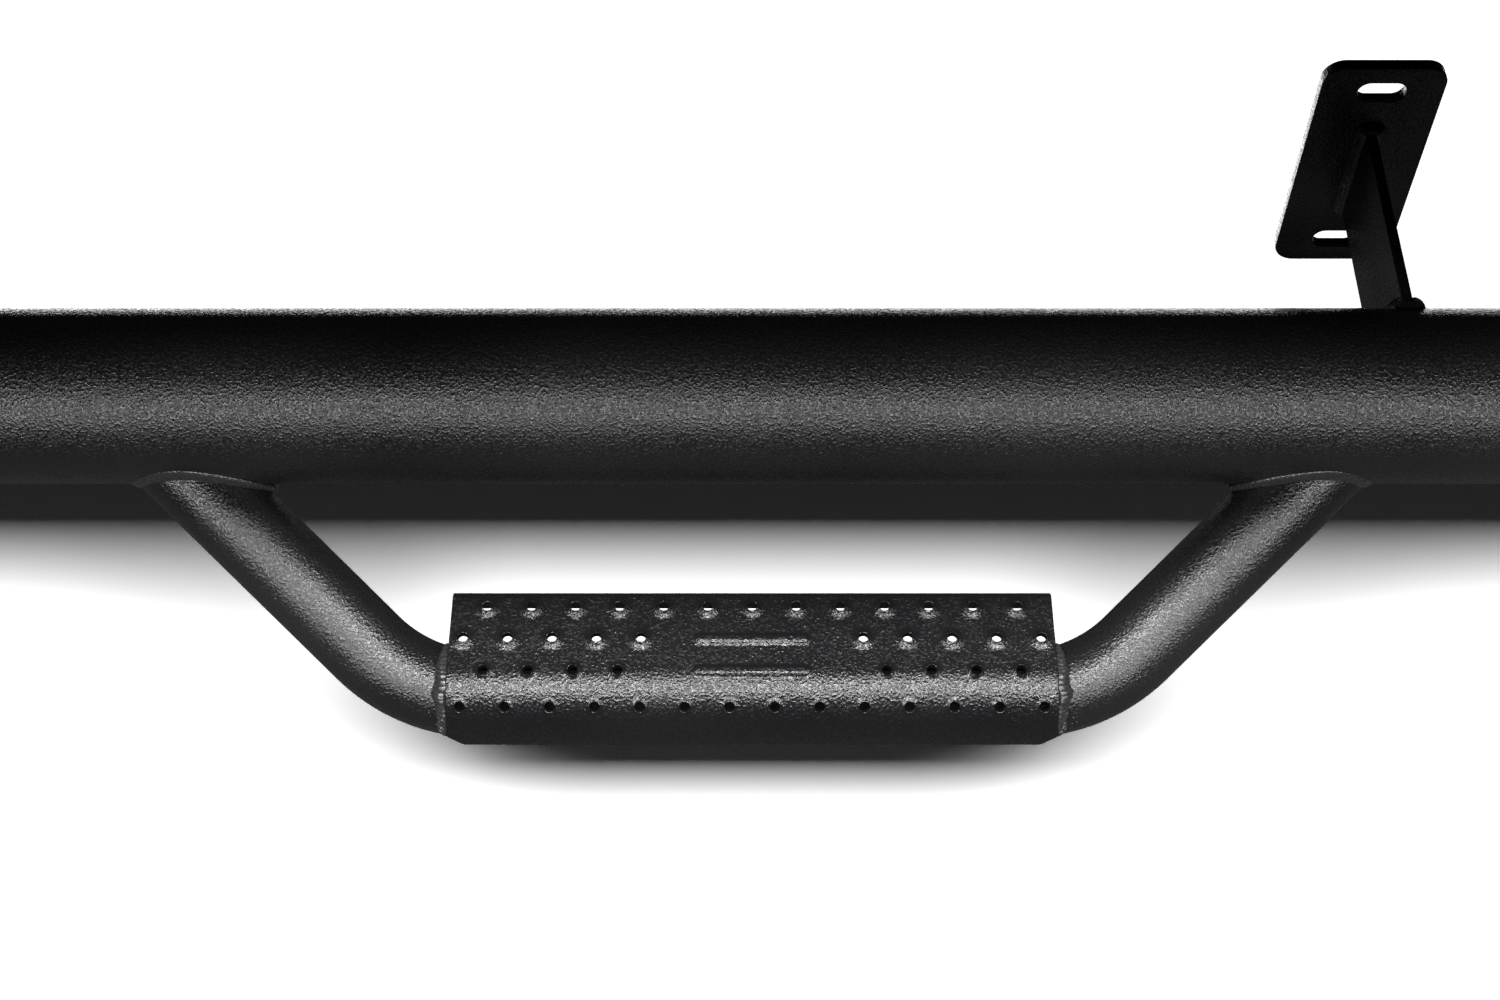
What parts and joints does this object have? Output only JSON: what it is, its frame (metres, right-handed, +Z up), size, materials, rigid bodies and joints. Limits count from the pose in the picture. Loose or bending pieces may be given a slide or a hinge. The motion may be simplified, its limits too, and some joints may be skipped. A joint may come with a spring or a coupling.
{
  "type": "side step bar",
  "caption": "Round side step bar with a welded hoop below it that carries a dimpled, folded step pad, on slotted bolt-on brackets.",
  "frame": {"origin": "centre of the body bolt pattern, in the plane of the mount plates' faces", "axes": "+X along the bar, +Y towards the vehicle that it bolts to, +Z up"},
  "size_m": [1.286, 0.2645, 0.1649],
  "materials": {
    "powder_coat": "black fine-textured powder coat, semi-gloss"
  },
  "bodies": {
    "root": {"main_tube": "powder_coat", "left_end_cap": "powder_coat", "right_end_cap": "powder_coat", "left_cap_weld": "powder_coat", "right_cap_weld": "powder_coat", "hoop_tube": "powder_coat", "left_hoop_weld": "powder_coat", "right_hoop_weld": "powder_coat", "step_pad": "powder_coat", "left_pad_weld": "powder_coat", "right_pad_weld": "powder_coat", "left_arm": "powder_coat", "right_arm": "powder_coat", "left_arm_weld": "powder_coat", "right_arm_weld": "powder_coat", "left_mount_plate": "powder_coat", "right_mount_plate": "powder_coat", "left_plate_weld": "powder_coat", "right_plate_weld": "powder_coat"}
  },
  "joints": []
}
